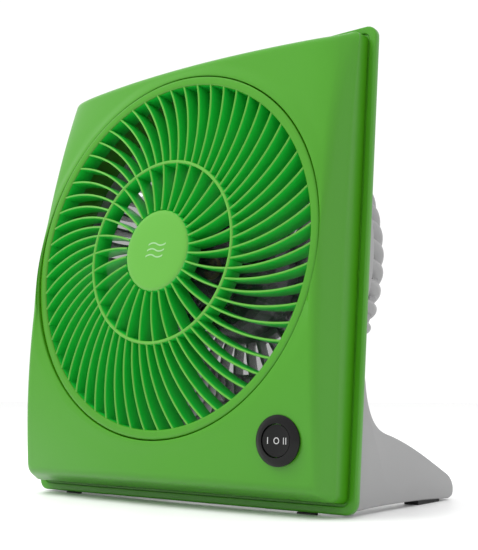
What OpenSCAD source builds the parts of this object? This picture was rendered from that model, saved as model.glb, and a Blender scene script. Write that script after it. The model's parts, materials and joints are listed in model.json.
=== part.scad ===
// Compact desk fan: green front panel leaning back on a grey rear shell with two side legs.
// Millimetres, +Z up. The origin lies on the floor, below the middle of the whole fan.
// Most pieces are drawn in the panel frame: x across, y up the sloping panel, z forward.

/* [Front panel] */
// Width of the panel rim
panel_w = 242; // [230:1:260]
// Height of the panel rim, along the slope
panel_h = 270; // [262:1:285]
// How far the head leans back from upright
lean_angle = 6.4; // [3:0.2:9]
// Gap between the rim and the floor
rim_lift = 1.3; // [1:0.1:2]
// Thickness of the rim flange
rim_t = 4; // [3:0.5:5]
// Distance from the rim's outer edge to the raised face's wall
wall_inset = 5.5; // [5:0.1:6.5]
// Wall thickness of the moulded front panel
panel_wall = 2.4; // [2:0.1:3]
// Height of the face above the rim, at its middle
face_crown_q = 32.6; // [31:0.1:34]
// Radius of the nearly flat middle of the face
face_r = 1600; // [1200:50:2400]
// Radius of the dome that draws the corners of the face back
corner_dome_r = 611; // [560:1:660]

/* [Front grille] */
// Height of the fan axis above the rim's lower edge, along the slope
fan_s = 141.7; // [139:0.1:144]
// Outer radius of the grille ring
ring_r = 108.9; // [107:0.1:109]
// Inner radius of the grille ring, where the outer vanes end
vane_r = 103.4; // [102:0.1:104]
// Radius of the middle ring
mid_r = 54.3; // [50:0.1:58]
// Radius of the hub disc
hub_r = 24.6; // [22:0.1:28]
// Front of the grille ring above the rim
ring_q = 28.7; // [28:0.1:29.5]
// Front of the hub disc above the rim
hub_q = 35.7; // [35:0.1:36]
// Number of outer vanes, twice the number of inner ones
vane_n = 60; // [48:2:60]
// Thickness of a vane
vane_t = 1.4; // [1.2:0.1:1.6]
// Depth of a vane, front to back
vane_d = 12; // [10:0.5:12]
// Radius of the arc that each vane follows, seen from the front
vane_bend = 102; // [95:1:120]
// Angle at which the first vane starts, from the panel's right-hand side
vane_phase = 3.9; // [0:0.1:6]

/* [Rear shell and guard] */
// Outer radius of the guard's drum
drum_r = 111; // [110:0.5:112]
// Where the guard's shoulder starts, behind the rim's front plane
shoulder_y = 24; // [22:1:26]
// Radius of the guard's rounded shoulder
shoulder_r = 42; // [40:1:43]
// Radial depth of a guard fin
fin_d = 9; // [8:0.5:9]
// Thickness of a guard fin
fin_t = 2; // [1.8:0.1:2.4]
// Distance from the middle to the outer face of a leg
leg_x = 117; // [114:0.5:118]
// Thickness of a leg
leg_t = 11; // [10:0.5:12]

/* [Impeller and motor] */
// Radius of the impeller over its blades
blade_r = 97; // [90:1:97]
// Number of blades
blade_n = 5; // [3:1:7]
// Angle of a blade to the plane of rotation
blade_pitch = 21; // [15:1:23]
// Radius of the impeller's hub
boss_r = 27; // [25:1:29]
// Diameter of the motor shaft
shaft_d = 6; // [5:0.5:8]
// Radius of the stator stack
stator_r = 38; // [36:1:40]

/* [Switch] */
// Diameter of the switch bezel
bezel_d = 26.4; // [24:0.1:28]
// Place of the switch across the panel
switch_x = 89.5; // [84:0.2:92]
// Place of the switch up the panel
switch_s = 35; // [33:0.1:37]
// Diameter of the rocker
rocker_d = 16.4; // [15:0.1:17]

/* [Hidden] */
$fn = 64;

eps = 0.05;
// The origin is below the middle of the fan, this far behind the rim's lower front edge
origin_y = 46.57;

// Face: the two domes' middles up the panel, the corner dome's crown, and the height above the rim
face_s = 144.6;
corner_dome_s = 121.2;
corner_dome_q = 42.2;
function dome_q(crown, r, mid_s, x, s) = crown - r + sqrt(r * r - x * x - (s - mid_s) * (s - mid_s));
function face_q(x, s) = min(dome_q(face_crown_q, face_r, face_s, x, s),
    dome_q(corner_dome_q, corner_dome_r, corner_dome_s, x, s));

// Grille dome: a sphere through the ring front and the hub front
grille_dome_r = (vane_r * vane_r - hub_r * hub_r) / (2 * (hub_q - ring_q));
grille_crown_q = hub_q + hub_r * hub_r / (2 * grille_dome_r);
hub_depth = 11.5;
ring_back_q = 16.2;
hub_dome_r = 260;
hub_crown = 0.3;

// Guard: flat back plane, its rounded shoulder's centre radius, and the middle ring
back_y = shoulder_y + shoulder_r;
shoulder_c = drum_r - shoulder_r;
guard_mid_r = 62;
guard_plate_r = 41;
collar_y = 11;
fin_n = 60;
plate_back_q = -rim_t - 3.2;

// Screw places
panel_screw_at = [[-102, 15], [102, 15], [0, 18], [-104, 250], [104, 250]];
guard_screw_angles = [45, 135, 225, 315];
guard_screw_r = 107.6;
guard_seat_q = -14.2;
leg_screw_at = [[109.5, 28], [109.5, 58]];
tie_r = 33;
mount_r = 24;

// Motor stations along the axis, forward positive
motor_front_q = -22;
stack_front_q = -31;
stack_back_q = -45;
motor_back_q = -54;
plate_q = -57;
plate_t = 4;

// Switch axis: square to the domed face where the switch sits
switch_nx = switch_x / face_r;
switch_ny = (switch_s - face_s) / face_r;
switch_tilt_x = asin(-switch_ny);
switch_tilt_y = atan2(switch_nx, sqrt(1 - switch_nx * switch_nx - switch_ny * switch_ny));
barrel_r = 10;
rocker_pivot_z = -1.2;

green = [0.39, 0.69, 0.25];
grey = [0.60, 0.60, 0.61];
smoke = [0.25, 0.26, 0.27];
black = [0.08, 0.08, 0.09];
steel = [0.72, 0.72, 0.74];
copper = [0.72, 0.38, 0.18];

// ---------- frames ----------

// Panel frame: x across, y up the slope, z forward
module head() {
    translate([0, -origin_y, rim_lift]) rotate([90 - lean_angle, 0, 0]) children();
}

// The same frame with its origin on the fan axis
module fan() {
    head() translate([0, fan_s, 0]) children();
}

// Origin on the domed face at the switch, z outward along the switch axis
module switch_frame() {
    head()
        translate([switch_x, switch_s, face_q(switch_x, switch_s)])
            rotate([switch_tilt_x, switch_tilt_y, 0])
                children();
}

// ---------- shared shapes ----------

// Rounded rectangle centred on the panel, taken in from the rim's edge by inset
module panel_outline(inset, corner) {
    w = panel_w - 2 * inset;
    h = panel_h - 2 * inset;
    translate([0, panel_h / 2]) {
        square([w - 2 * corner, h], center = true);
        square([w, h - 2 * corner], center = true);
        for (x = [-1, 1], y = [-1, 1])
            translate([x * (w / 2 - corner), y * (h / 2 - corner)]) circle(corner);
    }
}

// Ring between two radii and two heights
module ring(r_in, r_out, z0, z1) {
    difference() {
        translate([0, 0, z0]) cylinder(r = r_out, h = z1 - z0);
        translate([0, 0, z0 - 1]) cylinder(r = r_in, h = z1 - z0 + 2);
    }
}

// One curved vane in plan: it leaves the hub straight out and bends to the left
module vane_plan(r0, r1, r2, bend, t) {
    intersection() {
        difference() {
            translate([r0, bend]) circle(bend + t / 2, $fn = 128);
            translate([r0, bend]) circle(bend - t / 2, $fn = 128);
        }
        difference() {
            circle(r2, $fn = 128);
            circle(r1, $fn = 128);
        }
        translate([r0 - 1, -3]) square([r2, bend]);
    }
}

// Pan-head screw: z = 0 under the head, the shank runs towards -z
module screw(d, len, head_r, head_h) {
    difference() {
        union() {
            cylinder(r = head_r, h = head_h);
            translate([0, 0, -len]) cylinder(r = d / 2, h = len + eps);
        }
        for (a = [0, 90])
            rotate([0, 0, a]) translate([-head_r * 0.6, -0.4, head_h - 0.9]) cube([head_r * 1.2, 0.8, 2]);
    }
}

// ---------- front panel ----------

// Raised face as a solid block: upright walls, drawn-in upper walls and a domed front
module face_block(inset) {
    wall = wall_inset + inset;
    draft_start = 12 - inset;
    draft = 12;
    half_w = panel_w / 2 - wall;
    half_h = panel_h / 2 - wall;
    intersection() {
        // the hollow runs out through the back
        translate([0, 0, -rim_t - (inset > 0 ? 1 : 0)]) linear_extrude(60) panel_outline(wall, 6);
        translate([0, face_s, face_crown_q - face_r]) sphere(face_r - inset, $fn = 320);
        translate([0, corner_dome_s, corner_dome_q - corner_dome_r]) sphere(corner_dome_r - inset, $fn = 160);
        for (side = [-1, 1])
            translate([side * half_w, 0, draft_start])
                rotate([0, -side * draft, 0])
                    translate([side < 0 ? 0 : -300, -20, -60]) cube([300, 320, 120]);
        for (side = [-1, 1])
            translate([-200, panel_h / 2 + side * half_h, draft_start])
                rotate([side * draft, 0, 0])
                    translate([0, side < 0 ? 0 : -320, -60]) cube([400, 320, 120]);
    }
}

module front_panel() {
    color(green) head() difference() {
        union() {
            difference() {
                union() {
                    translate([0, 0, -rim_t]) linear_extrude(rim_t) panel_outline(0, 7);
                    face_block(0);
                }
                face_block(panel_wall);
            }
            // duct collar behind the opening
            translate([0, fan_s, 0]) ring(105.6, ring_r + 3, -rim_t, 27);
            intersection() {
                for (p = panel_screw_at)
                    translate([p[0], p[1], -rim_t]) cylinder(r = 4.5, h = 40);
                face_block(0.5);
            }
        }
        // grille seat, switch hole, screw pilots
        translate([0, fan_s, ring_back_q]) cylinder(r = ring_r + 0.5, h = 40, $fn = 128);
        for (p = panel_screw_at)
            translate([p[0], p[1], -rim_t - 1]) cylinder(r = 1.3, h = 15, $fn = 24);
        translate([switch_x, switch_s, face_q(switch_x, switch_s)])
            rotate([switch_tilt_x, switch_tilt_y, 0])
                translate([0, 0, -12]) cylinder(r = barrel_r + 0.2, h = 30);
        // shadow groove around the raised face
        translate([0, 0, -1.2]) linear_extrude(3) difference() {
            panel_outline(wall_inset - 1.2, 7);
            panel_outline(wall_inset, 6);
        }
        // notch for the motor lead
        translate([0, fan_s, 0]) rotate(lead_angle) translate([104, -2.4, -rim_t - 1]) cube([10, 4.8, 4.7]);
    }
}

// ---------- front grille ----------

// Solid between the grille's domed front and its back, at a given depth
module grille_slab(depth) {
    difference() {
        translate([0, 0, grille_crown_q - grille_dome_r]) sphere(grille_dome_r, $fn = 320);
        translate([0, 0, grille_crown_q - grille_dome_r - depth]) sphere(grille_dome_r, $fn = 320);
    }
}

module front_grille() {
    color(green) fan() {
        intersection() {
            translate([0, 0, 10]) linear_extrude(30) {
                for (i = [0 : vane_n - 1])
                    rotate(vane_phase + i * 360 / vane_n)
                        vane_plan(hub_r, mid_r, vane_r + 1, vane_bend, vane_t);
                for (i = [0 : vane_n / 2 - 1])
                    rotate(vane_phase + i * 720 / vane_n)
                        vane_plan(hub_r, hub_r - 1, mid_r, vane_bend, vane_t);
                difference() {
                    circle(mid_r + 1, $fn = 128);
                    circle(mid_r - 1, $fn = 128);
                }
            }
            translate([0, 0, -0.3]) grille_slab(vane_d);
        }
        // hub disc, slightly crowned
        intersection() {
            translate([0, 0, hub_q - hub_depth]) cylinder(r = hub_r, h = hub_depth + 5);
            translate([0, 0, hub_q + hub_crown - hub_dome_r]) sphere(hub_dome_r, $fn = 320);
        }
        ring(vane_r, ring_r, ring_back_q, ring_q);
    }
}

// Three airflow strokes on the hub disc
module hub_badge() {
    stroke_r = 9;
    stroke_w = 1.1;
    badge_size = 0.75;
    color([0.93, 0.95, 0.95]) fan() intersection() {
        translate([0, 0, hub_q - 2]) linear_extrude(6) scale(badge_size)
            for (row = [-1 : 1])
                translate([row * 1.2, row * 4.6]) {
                    intersection() {
                        translate([-4.5, -stroke_r * 0.86]) difference() {
                            circle(stroke_r + stroke_w / 2);
                            circle(stroke_r - stroke_w / 2);
                        }
                        translate([-9, -2]) square([9, 6]);
                    }
                    intersection() {
                        translate([4.5, stroke_r * 0.86]) difference() {
                            circle(stroke_r + stroke_w / 2);
                            circle(stroke_r - stroke_w / 2);
                        }
                        translate([0, -4]) square([9, 6]);
                    }
                }
        difference() {
            translate([0, 0, hub_q + hub_crown + 0.15 - hub_dome_r]) sphere(hub_dome_r, $fn = 320);
            translate([0, 0, hub_q + hub_crown + 0.01 - hub_dome_r]) sphere(hub_dome_r, $fn = 320);
        }
    }
}

// ---------- rear shell, legs and guard ----------

// Cubic curve from p0 to p3, in n steps, without its last point
function curve(p0, p1, p2, p3, n) = [for (i = [0 : n - 1]) let (t = i / n, u = 1 - t)
    u * u * u * p0 + 3 * u * u * t * p1 + 3 * u * t * t * p2 + t * t * t * p3];

// Side view of a leg: y back from the rim's lower front edge, z up from the floor
function leg_outline() = concat(
    curve([5.5, 2.4], [8, 30], [13, 70], [18, 112], 6),
    curve([18, 112], [17, 92], [17, 78], [19.5, 69], 6),
    curve([19.5, 69], [22, 47], [32, 43], [46, 40], 8),
    curve([46, 40], [70, 34], [92, 24], [111, 16], 6),
    curve([111, 16], [122, 11], [121, 1.2], [113, 1.0], 8),
    curve([113, 1.0], [85, 2.4], [40, 4.4], [5.5, 2.4], 8));

// Leg on the right side; mirrored for the left one
module leg() {
    translate([leg_x, -origin_y, 0]) rotate([90, 0, -90]) mirror([1, 0, 0]) difference() {
        linear_extrude(leg_t) polygon(leg_outline());
        // pocket that leaves a skin and an edge wall, open on the inner side
        translate([0, 0, 2.6]) linear_extrude(leg_t) polygon([[14, 6], [19, 62], [24, 44], [36, 37.5],
            [56, 33], [84, 22.5], [106, 13], [108, 8], [104, 5.6], [40, 6.5]]);
        // seat of the foot pad
        translate([76, -1, leg_t / 2 - 4.6]) cube([26, 4.4, 9.2]);
    }
}

module rear_shell() {
    color(grey) head() difference() {
        union() {
            translate([0, 0, plate_back_q]) linear_extrude(3) panel_outline(3, 6);
            // drum collar that carries the guard
            translate([0, fan_s, 0]) ring(105, drum_r + 1.5, -collar_y, -rim_t - 0.2);
        }
        translate([0, fan_s, -20]) cylinder(r = 105, h = 30, $fn = 128);
        for (p = panel_screw_at)
            translate([p[0], p[1], -20]) cylinder(r = 1.9, h = 30, $fn = 24);
        for (side = [-1, 1], p = leg_screw_at)
            translate([side * p[0], p[1], -20]) cylinder(r = 1.9, h = 30, $fn = 24);
        for (a = guard_screw_angles)
            translate([0, fan_s, -collar_y - 1]) rotate(a)
                translate([guard_screw_r, 0, 0]) cylinder(r = 1.25, h = 7, $fn = 24);
        translate([gland_x, gland_s, -20]) cylinder(r = 5.2, h = 30);
        translate([lead_x(105) - 3, lead_s(107) - 3, -collar_y + 3]) cube([6, 6, 12]);
    }
}

// Legs that stand behind the shell's back plate
module side_legs() {
    color(grey) difference() {
        union() {
            leg();
            mirror([1, 0, 0]) leg();
        }
        head() {
            translate([-150, -10, plate_back_q - 0.02]) cube([300, 300, 60]);
            for (side = [-1, 1], p = leg_screw_at)
                translate([side * p[0], p[1], -13]) cylinder(r = 1.3, h = 10, $fn = 24);
        }
    }
}

// Screws from inside the panel, through the back plate, into the legs
module leg_screws() {
    color(steel) head() for (side = [-1, 1], p = leg_screw_at)
        translate([side * p[0], p[1], -rim_t - 0.18]) screw(2.6, 7.6, 2.9, 1.9);
}

// Half section of the space inside the guard, taken in by inset
module guard_profile(inset) {
    translate([0, collar_y - inset]) square([drum_r - inset, shoulder_y - collar_y + inset]);
    translate([0, shoulder_y]) square([shoulder_c, shoulder_r - inset]);
    translate([shoulder_c, shoulder_y]) intersection() {
        circle(shoulder_r - inset);
        square(shoulder_r);
    }
}

// Space between the guard's outer surface and one that lies deeper, swept round the fan axis
module guard_skin(depth) {
    rotate([180, 0, 0]) rotate_extrude($fn = 128) difference() {
        guard_profile(0);
        guard_profile(depth);
    }
}

module rear_guard() {
    color(grey) fan() difference() {
        union() {
            intersection() {
                translate([0, 0, -back_y - 5]) linear_extrude(back_y - collar_y + 4) {
                    for (i = [0 : fin_n - 1])
                        rotate((i + 0.5) * 360 / fin_n)
                            vane_plan(hub_r, guard_mid_r, drum_r + 1, vane_bend, fin_t);
                    for (i = [0 : fin_n / 2 - 1])
                        rotate((i + 0.25) * 720 / fin_n)
                            vane_plan(hub_r, guard_plate_r - 1, guard_mid_r + 1, vane_bend, fin_t);
                }
                guard_skin(fin_d);
            }
            // base flange and band, shoulder rings, middle ring, motor plate
            ring(drum_r - 7, drum_r + 0.4, -collar_y - 3.5, -collar_y);
            ring(drum_r - 1.8, drum_r + 0.4, -shoulder_y, -collar_y - 3);
            ring(98.5, 101, -48, -41);
            ring(80, 82, -62, -56);
            ring(guard_mid_r - 1, guard_mid_r + 1, -back_y + 0.5, plate_q);
            translate([0, 0, plate_q - plate_t]) cylinder(r = guard_plate_r, h = plate_t);
            ring(guard_plate_r - 2, guard_plate_r, -back_y + 0.5, plate_q);
        }
        for (a = guard_screw_angles)
            rotate(a) translate([guard_screw_r, 0, -collar_y - 10]) cylinder(r = 1.6, h = 20, $fn = 24);
        for (a = guard_screw_angles)
            rotate(a) translate([guard_screw_r, 0, guard_seat_q - 10]) cylinder(r = 3.3, h = 10);
        for (a = [0 : 90 : 270])
            rotate(a) translate([mount_r, 0, -back_y - 1]) cylinder(r = 2.1, h = 20, $fn = 24);
        translate([0, 0, plate_q - plate_t - 1]) cylinder(r = 8, h = 10);
        translate([lead_x(105) - 3, lead_s(107) - fan_s - 3, -collar_y - 8]) cube([6, 6, 12]);
    }
}

module panel_screws() {
    color(steel) head() for (p = panel_screw_at)
        translate([p[0], p[1], -rim_t - 3.2]) rotate([180, 0, 0]) screw(2.6, 13, 3.4, 2.2);
}

module guard_screws() {
    color(steel) fan() for (a = guard_screw_angles)
        rotate(a) translate([guard_screw_r, 0, guard_seat_q]) rotate([180, 0, 0]) screw(2.5, 9.2, 2.8, 2);
}

module rear_foot_pads() {
    color(black) for (side = [-1, 1])
        translate([side * (leg_x - leg_t / 2), -origin_y + 89, 0]) {
            translate([-4.5, -12.8, 0]) cube([9, 25.6, 3.3]);
        }
}

module front_foot_pads() {
    color(black) for (side = [-1, 1])
        translate([side * 90, -origin_y, 0]) translate([-6, 1.5, 0]) cube([12, 2.2, rim_lift - 0.4]);
}

// ---------- impeller ----------

// One blade: a bent plate cut to a broad rounded plan
module blade() {
    chord = 110;
    camber_r = 150;
    span_q = -3;
    intersection() {
        translate([0, 0, -25]) linear_extrude(50) difference() {
            intersection() {
                circle(blade_r, $fn = 128);
                translate([blade_r * 0.58, 0]) circle(blade_r * 0.44);
            }
            circle(boss_r - 1);
        }
        translate([0, 0, span_q]) rotate([blade_pitch, 0, 0])
            rotate([90, 0, 90]) linear_extrude(blade_r + 5) intersection() {
                translate([0, -camber_r]) difference() {
                    circle(camber_r + 1, $fn = 128);
                    circle(camber_r - 1, $fn = 128);
                }
                translate([-chord / 2, -20]) square([chord, 40]);
            }
    }
}

module impeller() {
    color(smoke) fan() difference() {
        union() {
            for (i = [0 : blade_n - 1])
                rotate(90 + i * 360 / blade_n) blade();
            difference() {
                translate([0, 0, -18]) cylinder(r = boss_r, h = 32);
                translate([0, 0, -19]) cylinder(r = boss_r - 2.2, h = 30.5);
            }
            translate([0, 0, -12]) cylinder(r = 7, h = 25);
        }
        translate([0, 0, -30]) cylinder(r = shaft_d / 2 + 0.03, h = 60);
    }
}

module impeller_nut() {
    color(black) fan() difference() {
        union() {
            translate([0, 0, 14.05]) cylinder(r = 8, h = 4);
            translate([0, 0, 18]) cylinder(r = 6, h = 1.6);
        }
        translate([0, 0, 10]) cylinder(r = shaft_d / 2 + 0.03, h = 7.6);
        for (a = [0 : 45 : 315])
            rotate(a) translate([8.6, 0, 10]) cylinder(r = 1.2, h = 8, $fn = 24);
    }
}

// ---------- motor ----------

module motor_shaft() {
    color(steel) fan() translate([0, 0, -56.5]) cylinder(r = shaft_d / 2, h = 56.5 + 17);
}

module rotor_core() {
    color([0.5, 0.5, 0.52]) fan() ring(shaft_d / 2 + 0.02, 18, stack_back_q + 0.2, stack_front_q - 0.2);
}

module rotor_end_rings() {
    color([0.8, 0.8, 0.82]) fan() {
        ring(11, 17.5, stack_front_q - 0.2, stack_front_q + 2.8);
        ring(11, 17.5, stack_back_q - 2.8, stack_back_q + 0.2);
    }
}

module thrust_washers() {
    color([0.85, 0.8, 0.7]) fan() {
        ring(shaft_d / 2 + 0.03, 5.5, -27.6, -26.4);
        ring(shaft_d / 2 + 0.03, 5.5, -48.9, -48.1);
    }
}

module front_bearing() {
    color([0.75, 0.58, 0.32]) fan() ring(shaft_d / 2 + 0.04, 7, -26, -17);
}

module rear_bearing() {
    color([0.75, 0.58, 0.32]) fan() ring(shaft_d / 2 + 0.04, 7, -55, -49.3);
}

module stator_core() {
    color([0.45, 0.45, 0.47]) fan() difference() {
        translate([0, 0, stack_back_q]) cylinder(r = stator_r, h = stack_front_q - stack_back_q, $fn = 96);
        translate([0, 0, stack_back_q - 1]) cylinder(r = 18.5, h = 20);
        // four winding windows
        for (a = [45 : 90 : 315])
            rotate(a) translate([26, 0, stack_back_q - 1]) {
                cylinder(r = 5.2, h = 20);
                translate([-5, -5.2, 0]) cube([5, 10.4, 20]);
            }
        for (a = [0 : 90 : 270])
            rotate(a) translate([tie_r, 0, stack_back_q - 1]) cylinder(r = 1.6, h = 20, $fn = 24);
    }
}

// Coil round each pole, bulging out of both ends of the stack
module stator_coils() {
    color(copper) fan() for (a = [0 : 90 : 270])
        rotate(a) for (z = [stack_front_q + 0.05, stack_back_q - 4.05])
            translate([24, 0, z]) difference() {
                translate([-3.6, -13, 0]) cube([7.2, 26, 4]);
                translate([-10, -30, -1]) cube([5, 60, 8]);
            }
}

// Cup-shaped end bracket; z = 0 at the stack, opening towards +z
module end_bracket(depth, nose, nose_len) {
    difference() {
        union() {
            cylinder(r = stator_r, h = depth, $fn = 96);
            translate([0, 0, depth - eps]) cylinder(r = nose, h = nose_len);
        }
        translate([0, 0, -1]) cylinder(r = stator_r - 2.4, h = depth - 1.4, $fn = 96);
        for (a = [22.5 : 45 : 360])
            rotate(a) translate([26, 0, 0]) cylinder(r = 4.2, h = depth + 1);
    }
}

module motor_front_bracket() {
    color(black) fan() difference() {
        union() {
            translate([0, 0, stack_front_q + 0.02])
                end_bracket(motor_front_q - stack_front_q, 10, 5.5);
            for (a = [0 : 90 : 270])
                rotate(a) translate([tie_r, 0, stack_front_q + 0.02]) cylinder(r = 3.4, h = 8);
        }
        translate([0, 0, -60]) cylinder(r = 7.02, h = 70);
        for (a = [0 : 90 : 270])
            rotate(a) translate([tie_r, 0, -60]) cylinder(r = 1.3, h = 70, $fn = 24);
    }
}

module motor_rear_bracket() {
    color(black) fan() difference() {
        union() {
            translate([0, 0, stack_back_q - 0.02]) rotate([180, 0, 0])
                end_bracket(stack_back_q - motor_back_q, 10, 1.5);
            for (a = [0 : 90 : 270])
                rotate(a) {
                    translate([tie_r, 0, motor_back_q]) cylinder(r = 3.4, h = 8.98);
                    translate([mount_r, 0, motor_back_q - 1]) cylinder(r = 4.5, h = 4);
                }
        }
        translate([0, 0, -60]) cylinder(r = 7.02, h = 20);
        for (a = [0 : 90 : 270])
            rotate(a) {
                translate([tie_r, 0, -60]) cylinder(r = 1.6, h = 20, $fn = 24);
                translate([mount_r, 0, -60]) cylinder(r = 1.5, h = 9, $fn = 24);
            }
    }
}

module motor_tie_screws() {
    color(steel) fan() for (a = [0 : 90 : 270])
        rotate(a) translate([tie_r, 0, motor_back_q - 0.04]) rotate([180, 0, 0]) screw(2.5, 30, 2.6, 1.8);
}

module motor_grommets() {
    color([0.15, 0.15, 0.15]) fan() for (a = [0 : 90 : 270])
        rotate(a) translate([mount_r, 0, 0]) ring(1.6, 4.5, plate_q + 0.02, motor_back_q - 1.02);
}

module motor_mount_screws() {
    color(steel) fan() for (a = [0 : 90 : 270])
        rotate(a) translate([mount_r, 0, plate_q - plate_t]) rotate([180, 0, 0]) screw(2.9, 11.5, 3.4, 2.2);
}

// ---------- motor lead ----------

// The lead leaves the switch, follows the duct wall back and runs in to the motor
lead_angle = -48;
lead_d = 3.2;
function lead_x(r) = r * cos(lead_angle);
function lead_s(r) = fan_s + r * sin(lead_angle);
lead_route = [
    [86, 36, 0.5], [82, 42, -1.5], [76, 52, -2.2],
    [lead_x(113), lead_s(113), -2.2], [lead_x(108), lead_s(108), -2.4],
    [lead_x(104), lead_s(104), -5], [lead_x(103), lead_s(103), -10],
    [lead_x(103), lead_s(103), -22], [lead_x(100), lead_s(100), -30],
    [lead_x(92), lead_s(92), -38], [lead_x(80), lead_s(80), -44],
    [lead_x(66), lead_s(66), -48], [lead_x(52), lead_s(52), -49.5], [lead_x(40), lead_s(40), -49.5]];

// Tube along the route, one polyhedron: a ring of points at each route point
module motor_lead() {
    sides = 8;
    n = len(lead_route);
    function heading(i) = lead_route[min(i + 1, n - 1)] - lead_route[max(i - 1, 0)];
    function ring_points(i) = let (
            along = heading(i) / norm(heading(i)),
            side = cross(along, [0.3, 0.9, 0.1]) / norm(cross(along, [0.3, 0.9, 0.1])),
            other = cross(along, side)
        ) [for (k = [0 : sides - 1])
            lead_route[i] + lead_d / 2 * (cos(k * 360 / sides) * side + sin(k * 360 / sides) * other)];
    points = [for (i = [0 : n - 1]) each ring_points(i)];
    walls = [for (i = [0 : n - 2], k = [0 : sides - 1])
        [i * sides + k, i * sides + (k + 1) % sides, (i + 1) * sides + (k + 1) % sides, (i + 1) * sides + k]];
    caps = [[for (k = [sides - 1 : -1 : 0]) k], [for (k = [0 : sides - 1]) (n - 1) * sides + k]];
    color(black) head() polyhedron(points, concat(walls, caps), convexity = 6);
}

// Clip that holds the lead to the guard's middle ring
module lead_clip() {
    clip_h = 11;
    lead_rise = 8.57;
    lead_slope = 6.1;
    color(black) fan() rotate(lead_angle) translate([guard_mid_r, 0, plate_q]) difference() {
        translate([-2, -3.4, 0]) cube([4, 6.8, clip_h]);
        translate([0, 0, lead_rise]) rotate([0, 90 - lead_slope, 0])
            cylinder(r = lead_d / 2 + 0.25, h = 20, center = true);
    }
}

// ---------- switch ----------

module switch_body() {
    color(black) switch_frame() difference() {
        union() {
            // bezel ring that swells up round the rocker
            translate([0, 0, 0.1]) rotate_extrude($fn = 96) translate([rocker_d / 2 + 0.6, 0]) intersection() {
                translate([0, -3.2]) circle(6.2);
                square([bezel_d / 2 - rocker_d / 2 - 0.6, 3.1]);
            }
            translate([0, 0, -15]) cylinder(r = barrel_r, h = 15.2);
        }
        translate([0, 0, -6.5]) cylinder(r = rocker_d / 2 + 0.6, h = 20);
        // pivot sockets of the rocker
        rotate([90, 0, 0]) translate([0, rocker_pivot_z, -10]) cylinder(r = 1.05, h = 20, $fn = 24);
    }
}

module switch_nut() {
    color(black) switch_frame() difference() {
        translate([0, 0, -8]) cylinder(r = 14, h = 4, $fn = 6);
        translate([0, 0, -9]) cylinder(r = barrel_r + 0.05, h = 6);
    }
}

module switch_terminals() {
    color([0.85, 0.8, 0.6]) switch_frame() for (x = [-5.5, 0, 5.5])
        translate([x - 0.4, -2.4, -22]) cube([0.8, 4.8, 7]);
}

module switch_rocker() {
    color(black) switch_frame() {
        intersection() {
            translate([0, 0, -1.6]) cylinder(r = rocker_d / 2, h = 6);
            // shallow hollow across the face, so that both ends stand up
            difference() {
                translate([-15, -15, -4]) cube([30, 30, 7]);
                translate([0, 0, 62]) rotate([90, 0, 0]) cylinder(r = 60, h = 40, center = true, $fn = 128);
            }
        }
        rotate([90, 0, 0]) translate([0, rocker_pivot_z, -9.6]) cylinder(r = 1, h = 19.2, $fn = 24);
        translate([-1.2, -4, -4.6]) cube([2.4, 8, 4]);
    }
}

// Off, one and two, set into the rocker's face
module rocker_marks() {
    mark_t = 0.45;
    color([0.8, 0.8, 0.8]) switch_frame() intersection() {
        translate([0, 0, 1]) linear_extrude(3) {
            for (x = [-5.2, 4.4, 5.9])
                translate([x - mark_t / 2, -1.7]) square([mark_t, 3.4]);
            difference() {
                circle(1.7);
                circle(1.25);
            }
        }
        difference() {
            translate([0, 0, 62]) rotate([90, 0, 0]) cylinder(r = 60, h = 40, center = true, $fn = 128);
            translate([0, 0, 62.08]) rotate([90, 0, 0]) cylinder(r = 60, h = 41, center = true, $fn = 128);
        }
    }
}

// ---------- cord gland ----------

gland_x = 64;
gland_s = 17;

module cord_gland() {
    color(black) head() translate([gland_x, gland_s, 0]) difference() {
        union() {
            translate([0, 0, -rim_t - 3.2 - 6]) cylinder(r = 6.8, h = 6);
            translate([0, 0, -rim_t - 3.3]) cylinder(r = 5.15, h = 6);
            translate([0, 0, -rim_t + 0.1]) cylinder(r = 6.4, h = 2.2);
        }
        translate([0, 0, -30]) cylinder(r = 3.3, h = 60);
    }
}

front_panel();
front_grille();
hub_badge();
rear_shell();
rear_guard();
panel_screws();
guard_screws();
side_legs();
leg_screws();
rear_foot_pads();
front_foot_pads();
impeller();
impeller_nut();
motor_shaft();
rotor_core();
rotor_end_rings();
thrust_washers();
front_bearing();
rear_bearing();
stator_core();
stator_coils();
motor_front_bracket();
motor_rear_bracket();
motor_tie_screws();
motor_grommets();
motor_mount_screws();
motor_lead();
lead_clip();
switch_body();
switch_terminals();
switch_nut();
switch_rocker();
rocker_marks();
cord_gland();
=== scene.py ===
"""Looks of a compact desk fan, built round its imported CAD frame.

Shapes are in millimetres in the fan frame: x to the right, v up the sloping panel from the fan axis, q
forward from the rim's front plane."""
import json
import math

import bmesh
import bpy
import numpy as np
from mathutils import Matrix


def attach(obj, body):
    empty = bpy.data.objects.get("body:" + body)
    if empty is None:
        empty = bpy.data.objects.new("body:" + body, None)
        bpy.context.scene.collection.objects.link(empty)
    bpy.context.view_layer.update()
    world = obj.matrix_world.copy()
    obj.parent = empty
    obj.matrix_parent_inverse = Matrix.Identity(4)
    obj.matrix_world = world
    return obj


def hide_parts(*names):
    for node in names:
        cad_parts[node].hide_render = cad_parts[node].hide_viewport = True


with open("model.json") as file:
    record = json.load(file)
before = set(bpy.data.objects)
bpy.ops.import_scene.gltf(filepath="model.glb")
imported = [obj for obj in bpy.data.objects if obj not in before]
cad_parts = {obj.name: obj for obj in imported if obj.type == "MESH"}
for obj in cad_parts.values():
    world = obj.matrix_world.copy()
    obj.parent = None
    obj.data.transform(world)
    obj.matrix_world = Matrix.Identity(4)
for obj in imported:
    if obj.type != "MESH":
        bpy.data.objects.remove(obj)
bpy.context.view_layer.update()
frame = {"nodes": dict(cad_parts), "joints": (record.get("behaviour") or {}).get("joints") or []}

# ---------- the frame's own directions ----------

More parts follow.
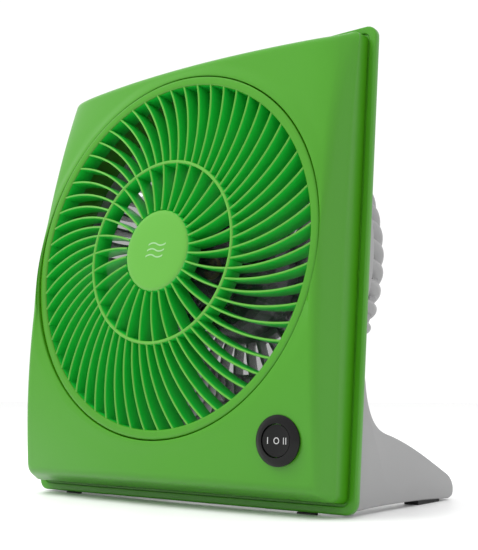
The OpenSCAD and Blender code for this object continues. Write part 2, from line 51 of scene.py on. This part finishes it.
MM = 0.001
spin = next(j for j in frame["joints"] if j["name"] == "impeller_spin")
AXIS_POINT = np.array(spin["pos_m"])
AHEAD = np.array(spin["axis"])
ACROSS = np.array([1.0, 0.0, 0.0])
UPWARD = np.cross(AHEAD, ACROSS)

# ---------- sizes, as in the CAD ----------

FAN_S = 141.7
PANEL_W, PANEL_H = 242.0, 270.0
RIM_T, RIM_CORNER = 4.0, 7.0
WALL_E = 5.5
RING_R, VANE_R, MID_R, HUB_R = 108.9, 103.4, 54.3, 24.6
RING_Q, RING_BACK_Q, HUB_Q = 28.7, 16.2, 35.7
HUB_CROWN, HUB_DEPTH = 0.3, 11.5
VANE_N, VANE_T, VANE_D, VANE_BEND, VANE_PHASE = 60, 1.4, 12.0, 102.0, 3.9
DOME_R = (VANE_R ** 2 - HUB_R ** 2) / (2 * (HUB_Q - RING_Q))
DOME_CROWN = HUB_Q + HUB_R ** 2 / (2 * DOME_R)
DRUM_R, SHOULDER_Y, SHOULDER_R, COLLAR_Y = 111.0, 24.0, 42.0, 11.0
BACK_Y = SHOULDER_Y + SHOULDER_R
SHOULDER_C = DRUM_R - SHOULDER_R
FIN_D, FIN_T, GUARD_MID_R, GUARD_PLATE_R = 9.0, 2.0, 62.0, 41.0
PLATE_Q, PLATE_T, BEARING_HOLE_R = -57.0, 4.0, 8.0
LEG_X, LEG_T, LEG_TOP_Z = 117.0, 11.0, 112
LEAN = math.atan2(AHEAD[2], -AHEAD[1])
ORIGIN_Y = -(AXIS_POINT[1] - FAN_S * MM * math.sin(LEAN)) / MM


def in_row(points):
    """Points (x, v, q) in millimetres of the fan frame, as metres in the row frame."""
    p = np.asarray(points, float).reshape(-1, 3) * MM
    return AXIS_POINT + p[:, :1] * ACROSS + p[:, 1:2] * UPWARD + p[:, 2:] * AHEAD


# ---------- mesh helpers ----------

def mesh_piece(name, verts, faces, material, body, nodes, sharp):
    """A mesh, smooth up to a sharp angle, that rides on a body and stands for the given CAD nodes."""
    mesh = bpy.data.meshes.new(name)
    mesh.from_pydata([tuple(v) for v in verts], [], [tuple(f) for f in faces])
    bm = bmesh.new()
    bm.from_mesh(mesh)
    bmesh.ops.remove_doubles(bm, verts=bm.verts, dist=1e-6)
    bmesh.ops.recalc_face_normals(bm, faces=bm.faces)
    bm.to_mesh(mesh)
    bm.free()
    mesh.shade_smooth()
    mesh.set_sharp_from_angle(angle=math.radians(sharp))
    obj = bpy.data.objects.new(name, mesh)
    bpy.context.scene.collection.objects.link(obj)
    mesh.materials.append(material)
    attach(obj, body)
    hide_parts(*nodes)
    return obj


class Build:
    """Collects vertices and faces of several closed shapes."""

    def __init__(self):
        self.verts, self.faces = [], []

    def loft(self, loops, closed_section=False, caps=False):
        """Joins closed loops of equal length; closed_section joins the last loop to the first too."""
        base = len(self.verts)
        n = len(loops[0])
        for loop in loops:
            self.verts.extend(np.asarray(loop, float).tolist())
        count = len(loops)
        for i in range(count if closed_section else count - 1):
            a, b = base + i * n, base + (i + 1) % count * n
            for k in range(n):
                m = (k + 1) % n
                self.faces.append((a + k, a + m, b + m, b + k))
        if caps:
            self.faces.append(tuple(base + k for k in range(n)))
            self.faces.append(tuple(base + (count - 1) * n + k for k in range(n)))

    def revolve(self, profile, steps=160):
        """Turns a closed (radius, q) profile round the fan axis."""
        a = np.arange(steps) * 2 * math.pi / steps
        loops = [np.stack([r * np.cos(a), r * np.sin(a), np.full(steps, q)], 1) for r, q in profile]
        self.loft(loops, closed_section=True)


def bezier(p0, p1, p2, p3, n):
    """n points of a cubic curve, without its last one."""
    t = np.arange(n)[:, None] / n
    u = 1 - t
    p0, p1, p2, p3 = (np.array(p, float) for p in (p0, p1, p2, p3))
    return u ** 3 * p0 + 3 * u * u * t * p1 + 3 * u * t * t * p2 + t ** 3 * p3


def smoothstep(t):
    t = np.clip(t, 0, 1)
    return t * t * (3 - 2 * t)


# ---------- materials ----------

def plastic(name, colour, rough=0.3, coat=0.0, grain=900.0, bump=0.05, drift=0.06, spread=0.08,
            specular=0.5, alpha=1.0, metallic=0.0, cloud=9.0):
    """Moulded or painted surface: slow colour drift, fine grain, uneven gloss."""
    m = bpy.data.materials.new(name)
    m.use_nodes = True
    nt = m.node_tree
    shader = nt.nodes["Principled BSDF"]
    coords = nt.nodes.new("ShaderNodeTexCoord")

    def noise(scale, detail):
        n = nt.nodes.new("ShaderNodeTexNoise")
        n.inputs["Scale"].default_value = scale
        n.inputs["Detail"].default_value = detail
        nt.links.new(coords.outputs["Object"], n.inputs["Vector"])
        return n

    def between(source, low, high):
        r = nt.nodes.new("ShaderNodeMapRange")
        r.inputs["From Min"].default_value = 0.3
        r.inputs["From Max"].default_value = 0.7
        r.inputs["To Min"].default_value = low
        r.inputs["To Max"].default_value = high
        nt.links.new(source.outputs["Fac"], r.inputs["Value"])
        return r

    slow = noise(cloud, 3.0)
    ramp = nt.nodes.new("ShaderNodeMix")
    ramp.data_type = "RGBA"
    ramp.inputs["A"].default_value = (*[c * (1 - drift) for c in colour], 1)
    ramp.inputs["B"].default_value = (*[min(1, c * (1 + drift)) for c in colour], 1)
    nt.links.new(between(slow, 0, 1).outputs["Result"], ramp.inputs["Factor"])
    nt.links.new(ramp.outputs["Result"], shader.inputs["Base Color"])
    gloss = noise(cloud * 4, 4.0)
    nt.links.new(between(gloss, rough - spread * rough, rough + spread * rough).outputs["Result"],
                 shader.inputs["Roughness"])
    fine = noise(grain, 2.0)
    b = nt.nodes.new("ShaderNodeBump")
    b.inputs["Strength"].default_value = bump
    b.inputs["Distance"].default_value = 0.0002
    nt.links.new(fine.outputs["Fac"], b.inputs["Height"])
    nt.links.new(b.outputs["Normal"], shader.inputs["Normal"])
    shader.inputs["Metallic"].default_value = metallic
    shader.inputs["Specular IOR Level"].default_value = specular
    shader.inputs["Coat Weight"].default_value = coat
    shader.inputs["Coat Roughness"].default_value = 0.12
    shader.inputs["Alpha"].default_value = alpha
    return m


green = plastic("panel_green", (0.043, 0.224, 0.004), rough=0.36, coat=0.05, specular=0.4, grain=700,
                bump=0.03, drift=0.03)
# vane green, brighter and more saturated than the panel green: partly the vanes' own green, partly painted
# light standing in for light glowing through and bouncing between the translucent vanes
vane_green_with_glow = plastic("vane_green_with_glow", (0.008, 0.430, 0.036), rough=0.36, coat=0.05, specular=0.4, grain=700,
                     bump=0.03, drift=0.03)
# lighter green for the hub disc's face and a painted highlight on the vanes' front edges
disc_and_edge_highlight_green = plastic("disc_and_edge_highlight_green", (0.088, 0.320, 0.030), rough=0.34, coat=0.05, specular=0.4, grain=700,
                     bump=0.03, drift=0.03)
grey = plastic("shell_grey", (0.275, 0.275, 0.277), rough=0.45, grain=1400, bump=0.12, drift=0.03)
smoke = plastic("blade_smoke", (0.060, 0.064, 0.070), rough=0.22, coat=0.1, alpha=0.38, grain=500,
                bump=0.02)
black = plastic("black_plastic", (0.012, 0.012, 0.013), rough=0.42, grain=1500, bump=0.15)
switch_black = plastic("switch_black", (0.004, 0.004, 0.004), rough=0.3, specular=0.22, grain=1800,
                       bump=0.06)
rubber = plastic("pad_rubber", (0.010, 0.010, 0.010), rough=0.75, grain=2200, bump=0.3)
badge = plastic("badge_print", (0.26, 0.48, 0.22), rough=0.4, bump=0.02)
mark = plastic("mark_grey", (0.42, 0.42, 0.42), rough=0.5, bump=0.02)
steel = plastic("screw_steel", (0.55, 0.55, 0.56), rough=0.3, metallic=1.0, grain=1200, bump=0.08)
shaft = plastic("shaft_steel", (0.62, 0.62, 0.64), rough=0.16, metallic=1.0, grain=1500, bump=0.03)
laminate = plastic("lamination_steel", (0.20, 0.20, 0.21), rough=0.45, metallic=0.9, grain=2500, bump=0.25)
aluminium = plastic("cast_aluminium", (0.68, 0.68, 0.70), rough=0.4, metallic=1.0, grain=1100, bump=0.2)
bronze = plastic("bearing_bronze", (0.45, 0.29, 0.11), rough=0.4, metallic=1.0, grain=1800, bump=0.15)
copper = plastic("copper_wire", (0.48, 0.18, 0.06), rough=0.3, metallic=1.0, grain=1600, bump=0.4)
bracket = plastic("bracket_black", (0.014, 0.014, 0.015), rough=0.4, grain=900, bump=0.12)
washer = plastic("washer_plastic", (0.62, 0.56, 0.42), rough=0.5)
brass = plastic("terminal_brass", (0.62, 0.45, 0.18), rough=0.3, metallic=1.0)
sheath = plastic("lead_sheath", (0.012, 0.012, 0.013), rough=0.5, grain=1500, bump=0.2)

NODE_MATERIALS = {
    "hub_badge": badge, "panel_screws": steel, "guard_screws": steel, "leg_screws": steel,
    "rear_foot_pads": rubber, "front_foot_pads": rubber, "impeller": smoke, "impeller_nut": black,
    "motor_shaft": shaft, "rotor_core": laminate, "rotor_end_rings": aluminium, "thrust_washers": washer,
    "front_bearing": bronze, "rear_bearing": bronze, "stator_core": laminate, "stator_coils": copper,
    "motor_front_bracket": bracket, "motor_rear_bracket": bracket, "motor_tie_screws": steel,
    "motor_grommets": rubber, "motor_mount_screws": steel, "motor_lead": sheath, "lead_clip": black,
    "switch_body": switch_black, "switch_terminals": brass, "switch_nut": black,
    "switch_rocker": switch_black, "rocker_marks": mark, "cord_gland": black}
for node, material in NODE_MATERIALS.items():
    data = frame["nodes"][node].data
    data.materials.clear()
    data.materials.append(material)

# ---------- front panel ----------

# Insets from the rim's edge: the crease of the side wall and the edge of the face
CREASE_E, EDGE_E = 5.9, 10.3
PANEL_WALL = 2.4
WALL_CORNER = 4.0
EDGE_TURN = 4.5
OPEN_R = RING_R + 0.5
SEAT_R = 105.6
COLLAR_R = RING_R + 3
LIP_WIDTH = 9
FACE_TOP_Q, FACE_TOP_S, FACE_FALL = 31, 112, 1140
FACE_HALF_W = 110


def panel_reach(angles, inset, corner):
    """Distance from the fan axis to the rounded outline that lies inset from the rim's edge."""
    low, high = np.zeros_like(angles), np.full_like(angles, PANEL_W)
    half = np.array([PANEL_W / 2, PANEL_H / 2])[:, None] - inset
    mid_v = PANEL_H / 2 - FAN_S
    for _ in range(44):
        r = (low + high) / 2
        d = np.abs(np.stack([r * np.cos(angles), r * np.sin(angles) - mid_v])) - half + corner
        out = np.hypot(*np.maximum(d, 0)) + np.minimum(d.max(0), 0) - corner
        low, high = np.where(out < 0, r, low), np.where(out < 0, high, r)
    return (low + high) / 2


def panel_angles():
    """Directions from the fan axis, close together at the panel's corners."""
    x1, v0, v1 = PANEL_W / 2 - 6, -FAN_S + 6, PANEL_H - FAN_S - 6
    angles = []
    for a, b, n in (((x1, v0), (x1, v1), 72), ((x1, v1), (-x1, v1), 64),
                    ((-x1, v1), (-x1, v0), 72), ((-x1, v0), (x1, v0), 64)):
        t = (1 - np.cos(np.linspace(0, math.pi, n, endpoint=False))) / 2
        t = 0.55 * t + 0.45 * np.linspace(0, 1, n, endpoint=False)
        angles.extend(np.arctan2(a[1] + (b[1] - a[1]) * t, a[0] + (b[0] - a[0]) * t))
    return np.array(angles)


def face_q(x, v):
    """Height of the pillowed face: nearly flat round the fan, falling back towards the corners."""
    s = v + FAN_S
    fall = (s - FACE_TOP_S) ** 2 / FACE_FALL
    across = (x / FACE_HALF_W) ** 2
    upper = 0.20 + 0.55 * across + 0.25 * across ** 8
    lower = 0.43 + 0.72 * across
    return FACE_TOP_Q - fall * np.where(s > FACE_TOP_S, upper, lower)


def crease_q(v):
    """Height at which the panel's side wall turns inwards."""
    return 13 - 4.3 * ((v + FAN_S - 120) / 130) ** 2


def build_panel():
    phi = panel_angles()
    cos, sin = np.cos(phi), np.sin(phi)
    loops = []

    def add(reach, q):
        reach = np.broadcast_to(reach, phi.shape)
        loops.append(np.stack([reach * cos, reach * sin, np.broadcast_to(q, phi.shape)], 1))

    def rim(e, q):
        add(panel_reach(phi, e, max(RIM_CORNER - 0.6 * e, 2.5)), q)

    for e, q in ((0.5, -RIM_T), (0.15, -RIM_T + 0.15), (0.0, -RIM_T + 0.5), (0.0, -1.2), (0.1, -0.6),
                 (0.35, -0.22), (0.75, -0.04), (1.2, 0.0), (3.7, 0.0), (4.05, -0.08), (4.25, -0.35),
                 (4.3, -1.2), (5.4, -1.2), (5.5, -0.9), (5.55, 1.5)):
        rim(e, q)
    base = panel_reach(phi, CREASE_E, WALL_CORNER)
    qc = crease_q(base * sin)
    for e, dq in ((5.68, -4.0), (5.78, -2.0), (5.86, -0.9), (6.0, 0.1)):
        add(panel_reach(phi, e, WALL_CORNER), qc + dq)
    reach = panel_reach(phi, EDGE_E, WALL_CORNER)
    top = face_q(reach * cos, reach * sin)
    turn = np.minimum(EDGE_TURN, 0.45 * (top - qc))

    def wall_reach(q):
        """The side wall leans straight in from the crease to the face's edge."""
        e = CREASE_E + 0.15 + (q - qc) * (EDGE_E - CREASE_E - 0.15) / (top - qc)
        return panel_reach(phi, e, WALL_CORNER)

    for share in (0.08, 0.3, 0.65, 1.0):
        q = qc + 0.1 + share * (top - turn - qc - 0.1)
        add(wall_reach(q), q)
    p0 = (wall_reach(top - turn), top - turn)
    p1 = (reach, top)
    inner = np.maximum(reach - EDGE_TURN, OPEN_R + 0.9)
    inner = np.minimum(inner, reach - 0.25)
    p2 = (inner, face_q(inner * cos, inner * sin))
    for t in np.linspace(0, 1, 8)[1:]:
        u = 1 - t
        add(*(u * u * p0[i] + 2 * u * t * p1[i] + t * t * p2[i] for i in (0, 1)))
    lip = RING_Q + 0.2
    brink = np.minimum(OPEN_R + 0.7, inner - 0.1)

    def eased(r):
        full = face_q(r * cos, r * sin)
        return full - 0.5 * (full - lip) * (1 - smoothstep((r - OPEN_R) / LIP_WIDTH))

    for t in np.linspace(0, 1, 12)[1:]:
        r = inner + (brink - inner) * t
        add(r, eased(r) + (p2[1] - eased(inner)) * (1 - t))
    rim_q = eased(brink)
    for dr, dq in ((0.35, -0.12), (0.1, -0.4), (0.0, -0.9)):
        add(OPEN_R + dr, rim_q + dq)
    add(OPEN_R, RING_BACK_Q)
    add(SEAT_R, RING_BACK_Q)
    add(SEAT_R, -RIM_T)
    add(COLLAR_R, -RIM_T)
    # hollow behind the face: as high as the wall leaves room beside the collar
    under = face_q(inner * cos, inner * sin) - PANEL_WALL
    ceiling = np.full_like(phi, 4.0)
    for q in np.arange(4.0, 28.0, 1.0):
        room = wall_reach(np.maximum(q, qc)) - PANEL_WALL - 0.2 - COLLAR_R
        ceiling = np.where((room > 0.5) & (q <= under) & (q <= ceiling + 1.01), q, ceiling)
    add(COLLAR_R, ceiling)
    add(wall_reach(np.maximum(ceiling, qc)) - PANEL_WALL, ceiling)
    low_in = panel_reach(phi, WALL_E + PANEL_WALL, 3.0)
    add(low_in, np.minimum(qc - 1, ceiling - 0.5))
    add(low_in, -RIM_T)
    b = Build()
    b.loft(loops, closed_section=True)
    panel = mesh_piece("panel_shell", in_row(b.verts), b.faces, green, "housing", ["front_panel"], sharp=50)


# ---------- curved plates of the grille and the guard ----------

def vane_point(start_r, radius):
    """Plan point (x, v) and sideways direction of a vane at a given distance from the axis."""
    lo, hi = 0.0, math.pi / 2
    for _ in range(40):
        t = (lo + hi) / 2
        r = math.hypot(start_r + VANE_BEND * math.sin(t), VANE_BEND * (1 - math.cos(t)))
        lo, hi = (t, hi) if r < radius else (lo, t)
    return (np.array([start_r + VANE_BEND * math.sin(t), VANE_BEND * (1 - math.cos(t))]),
            np.array([-math.sin(t), math.cos(t)]))


def turned(points, degrees):
    """Points turned round the fan axis."""
    a = math.radians(degrees)
    p = np.asarray(points, float)
    return np.stack([p[:, 0] * math.cos(a) - p[:, 1] * math.sin(a),
                     p[:, 0] * math.sin(a) + p[:, 1] * math.cos(a), p[:, 2]], 1)


def dome_front(r):
    """Height of the grille's domed front at radius r."""
    return DOME_CROWN - DOME_R + math.sqrt(DOME_R ** 2 - r * r)


def build_grille():
    b = Build()
    half = VANE_T / 2
    # cross-section of a vane: sideways offset and depth behind the front edge
    section = ((-half, VANE_D), (-half, 1.2), (-0.9 * half, 0.55), (-0.55 * half, 0.15), (0, 0),
               (0.55 * half, 0.15), (0.9 * half, 0.55), (half, 1.2), (half, VANE_D))

    def vane(r0, r1, steps):
        loops = []
        for r in np.linspace(r0, r1, steps):
            p, side = vane_point(HUB_R, r)
            front = dome_front(r) - 0.25
            loops.append([(*(p + side * h), front - d) for h, d in section])
        return loops

    for count, r0, r1, steps in ((VANE_N, MID_R - 0.2, VANE_R + 0.6, 12),
                                 (VANE_N // 2, HUB_R - 0.8, MID_R + 0.2, 8)):
        one = vane(r0, r1, steps)
        for i in range(count):
            b.loft([turned(loop, VANE_PHASE + i * 360 / count) for loop in one], caps=True)
    mid = dome_front(MID_R)
    b.revolve([(MID_R - 1, mid - VANE_D), (MID_R - 1, mid - 0.8), (MID_R - 0.6, mid - 0.25),
               (MID_R, mid - 0.05), (MID_R + 0.6, mid - 0.25), (MID_R + 1, mid - 0.8),
               (MID_R + 1, mid - VANE_D)])
    b.revolve([(VANE_R, RING_BACK_Q + 0.02), (VANE_R, RING_Q - 1.0), (VANE_R + 0.25, RING_Q - 0.4),
               (VANE_R + 0.9, RING_Q - 0.06), (VANE_R + 1.8, RING_Q), (RING_R - 1.8, RING_Q),
               (RING_R - 0.9, RING_Q - 0.08), (RING_R - 0.25, RING_Q - 0.5), (RING_R, RING_Q - 1.2),
               (RING_R, RING_BACK_Q + 0.02)], steps=240)
    b.revolve([(0.01, HUB_Q + HUB_CROWN), (8, HUB_Q + HUB_CROWN * 0.92), (16, HUB_Q + HUB_CROWN * 0.6),
               (21.5, HUB_Q + HUB_CROWN * 0.1), (23.4, HUB_Q - 0.25), (24.2, HUB_Q - 0.8),
               (HUB_R, HUB_Q - 1.8), (HUB_R, HUB_Q - HUB_DEPTH), (0.01, HUB_Q - HUB_DEPTH)], steps=128)
    grille = mesh_piece("grille", in_row(b.verts), b.faces, vane_green_with_glow, "housing", ["front_grille"],
                        sharp=40)
    # faces turned forward get a lighter green: a painted highlight on the vanes' front edges, with the hub
    # disc's face in the same lighter green; the outer ring is panel green
    grille.data.materials.append(disc_and_edge_highlight_green)
    grille.data.materials.append(green)
    for face in grille.data.polygons:
        offset = np.array(face.center) - AXIS_POINT
        radius = np.linalg.norm(offset - (offset @ AHEAD) * AHEAD) / MM
        if radius > VANE_R + 0.1:
            face.material_index = 2
        # faces turned forward take the lighter green: painted highlight where the vanes' front edges face
        # the light
        elif np.array(face.normal) @ AHEAD > 0.5:
            face.material_index = 1


def guard_point(t, inset):
    """Point (r, q) of the guard's profile, t from 0 at the motor plate to 1 at the collar, moved in."""
    flat = SHOULDER_C - GUARD_PLATE_R + 2
    arc = SHOULDER_R * math.pi / 2
    drum = SHOULDER_Y - COLLAR_Y
    d = t * (flat + arc + drum)
    if d < flat:
        return GUARD_PLATE_R - 2 + d, -BACK_Y + inset
    if d < flat + arc:
        a = (d - flat) / SHOULDER_R
        r = SHOULDER_R - inset
        return SHOULDER_C + r * math.sin(a), -SHOULDER_Y - r * math.cos(a)
    return DRUM_R - inset, -SHOULDER_Y + (d - flat - arc)


def build_guard():
    b = Build()
    half = FIN_T / 2
    section = ((-half, FIN_D), (-half, 1.5), (-0.88 * half, 0.8), (-0.5 * half, 0.2), (0, 0),
               (0.5 * half, 0.2), (0.88 * half, 0.8), (half, 1.5), (half, FIN_D))

    def fin(t0, steps):
        loops = []
        for t in np.linspace(t0, 1, steps):
            loop = []
            for h, d in section:
                r, q = guard_point(t, d)
                p, side = vane_point(HUB_R, r)
                loop.append((*(p + side * h), q))
            loops.append(loop)
        return loops

    # length of the profile that guard_point follows
    whole = SHOULDER_C - GUARD_PLATE_R + 2 + SHOULDER_R * math.pi / 2 + SHOULDER_Y - COLLAR_Y
    mid_t = (GUARD_MID_R - GUARD_PLATE_R + 2) / whole
    long_fin, short_fin = fin(0.0, 30), fin(mid_t, 24)
    for i in range(VANE_N):
        one = long_fin if i % 2 == 0 else short_fin
        b.loft([turned(loop, (i + 0.5) * 360 / VANE_N) for loop in one], caps=True)

    def ring(r0, r1, q0, q1):
        """Ring with eased corners, between two radii and two heights."""
        ease = 0.5
        b.revolve([(r0 + ease, q0), (r0, q0 + ease), (r0, q1 - ease), (r0 + ease, q1), (r1 - ease, q1),
                   (r1, q1 - ease), (r1, q0 + ease), (r1 - ease, q0)])

    # base flange and band, two shoulder rings, middle ring, motor plate's edge and plate
    flange_q = -COLLAR_Y - 3.5
    ring(DRUM_R - 7, DRUM_R + 0.4, flange_q, -COLLAR_Y)
    ring(DRUM_R - 1.8, DRUM_R + 0.4, -SHOULDER_Y, flange_q)
    ring(98.5, 101, -48, -41)
    ring(80, 82, -62, -56)
    ring(GUARD_MID_R - 1, GUARD_MID_R + 1, -BACK_Y + 0.5, PLATE_Q)
    ring(GUARD_PLATE_R - 2, GUARD_PLATE_R, -BACK_Y + 0.5, PLATE_Q)
    ring(BEARING_HOLE_R, GUARD_PLATE_R - 0.2, PLATE_Q - PLATE_T, PLATE_Q)
    guard = mesh_piece("guard", in_row(b.verts), b.faces, grey, "housing", ["rear_guard"], sharp=40)


# ---------- rear shell with its legs ----------

def leg_outline():
    """Side view of a leg: y back from the rim's lower front edge, z up from the floor."""
    return np.concatenate([
        bezier((5.5, 2.4), (8, 30), (13, 70), (18, LEG_TOP_Z), 14),
        bezier((18, LEG_TOP_Z), (17, 92), (17, 78), (19.5, 69), 16),
        bezier((19.5, 69), (22, 47), (32, 43), (46, 40), 24),
        bezier((46, 40), (70, 34), (92, 24), (111, 16), 20),
        bezier((111, 16), (122, 11), (121, 1.2), (113, 1.0), 20),
        bezier((113, 1.0), (85, 2.4), (40, 4.4), (5.5, 2.4), 24)])


def shrunk(outline, depth):
    """Clockwise (y, z) outline moved inwards by depth, and by less towards the leg's thin tip."""
    tip_height = 45
    ahead = np.roll(outline, -1, 0) - np.roll(outline, 1, 0)
    ahead /= np.linalg.norm(ahead, axis=1)[:, None]
    inward = np.stack([ahead[:, 1], -ahead[:, 0]], 1)
    return outline + inward * depth * np.clip((LEG_TOP_Z - outline[:, 1:]) / tip_height, 0.02, 1)


def build_shell():
    b = Build()
    phi = panel_angles()
    cos, sin = np.cos(phi), np.sin(phi)

    def loop(reach, q):
        reach = np.broadcast_to(reach, phi.shape)
        return np.stack([reach * cos, reach * sin, np.full_like(phi, q)], 1)

    def edge(e, q):
        return loop(panel_reach(phi, e, 5.0), q)

    front, back = -RIM_T - 0.2, -RIM_T - 3.2
    hole_r, collar_r = 105.0, DRUM_R + 1.5
    b.loft([edge(3.2, front), edge(3.0, front - 0.3), edge(3.0, back + 1.2), edge(3.35, back + 0.35),
            edge(4.2, back), loop(collar_r + 2.2, back), loop(collar_r + 0.6, back - 0.5),
            loop(collar_r, back - 1.8), loop(collar_r, -COLLAR_Y + 0.5), loop(collar_r - 0.5, -COLLAR_Y),
            loop(hole_r, -COLLAR_Y), loop(hole_r, front)], closed_section=True)
    shell_verts = in_row(b.verts).tolist()
    faces = list(b.faces)
    outline = leg_outline()
    turn, skin = 1.8, 2.6
    inner_x = LEG_X - LEG_T
    # (inset, x) from the rounded outer edge to the inner face and down into its pocket
    rows = [(turn, LEG_X), (turn * 0.29, LEG_X - turn * 0.1), (0.0, LEG_X - turn * 0.55),
            (0.0, LEG_X - turn), (0.0, inner_x + 0.8), (0.25, inner_x + 0.2), (0.8, inner_x),
            (skin, inner_x), (2.8, LEG_X - skin)]
    for side in (1, -1):
        legs = Build()
        loops = []
        for depth, x in rows:
            o = shrunk(outline, depth)
            loops.append(np.stack([np.full(len(o), side * x), o[:, 0] - ORIGIN_Y, o[:, 1]], 1) * MM)
        legs.loft(loops, caps=True)
        base = len(shell_verts)
        shell_verts.extend(legs.verts)
        faces.extend(tuple(base + k for k in f) for f in legs.faces)
    shell = mesh_piece("shell", shell_verts, faces, grey, "housing", ["rear_shell", "side_legs"], sharp=45)


build_panel()
build_grille()
build_guard()
build_shell()

# ---------- floor, light, camera ----------

floor_mesh = bpy.data.meshes.new("floor")
REACH = 6.0
floor_mesh.from_pydata([(-REACH, -REACH, 0), (REACH, -REACH, 0), (REACH, REACH, 0), (-REACH, REACH, 0)], [],
                       [(0, 1, 2, 3)])
floor = bpy.data.objects.new("floor", floor_mesh)
bpy.context.scene.collection.objects.link(floor)
floor_white = plastic("floor_white", (0.90, 0.90, 0.90), rough=0.4, grain=60, bump=0.0, drift=0.0,
                      specular=0.3)
floor_mesh.materials.append(floor_white)

world = bpy.data.worlds.new("studio")
bpy.context.scene.world = world
world.use_nodes = True
world.node_tree.nodes["Background"].inputs["Color"].default_value = (1, 1, 1, 1)
world.node_tree.nodes["Background"].inputs["Strength"].default_value = 1.06
bpy.context.scene.view_settings.view_transform = "Standard"
bpy.context.scene.view_settings.look = "None"


def aimed(place, ahead):
    """Matrix of a lamp or camera that looks along ahead, level with the horizon."""
    ahead = ahead / np.linalg.norm(ahead)
    right = np.cross(ahead, (0, 0, 1))
    right /= np.linalg.norm(right)
    up = np.cross(right, ahead)
    return Matrix([[right[i], up[i], -ahead[i], place[i]] for i in range(3)] + [[0, 0, 0, 1]])


def softbox(name, place, target, size, power):
    data = bpy.data.lights.new(name, "AREA")
    data.shape = "RECTANGLE"
    data.size, data.size_y = size
    data.energy = power
    lamp = bpy.data.objects.new(name, data)
    lamp.visible_glossy = False
    bpy.context.scene.collection.objects.link(lamp)
    lamp.matrix_world = aimed(place, np.array(target, float) - np.array(place, float))


softbox("key", (-0.9, -0.9, 1.5), (0, 0, 0.15), (1.2, 1.2), 30)
softbox("top", (0.2, 0.2, 1.7), (0, 0, 0.1), (1.4, 1.4), 9)

CAMERA_PLACE = (0.38796, -0.43354 - ORIGIN_Y * MM, 0.06278)
CAMERA_AHEAD = np.array([-0.6145, 0.7796, 0.1206])
CAMERA_LENS = 64.12
camera_data = bpy.data.cameras.new("camera")
camera_data.lens = CAMERA_LENS
camera = bpy.data.objects.new("camera", camera_data)
bpy.context.scene.collection.objects.link(camera)
camera.matrix_world = aimed(CAMERA_PLACE, CAMERA_AHEAD)
bpy.context.scene.camera = camera
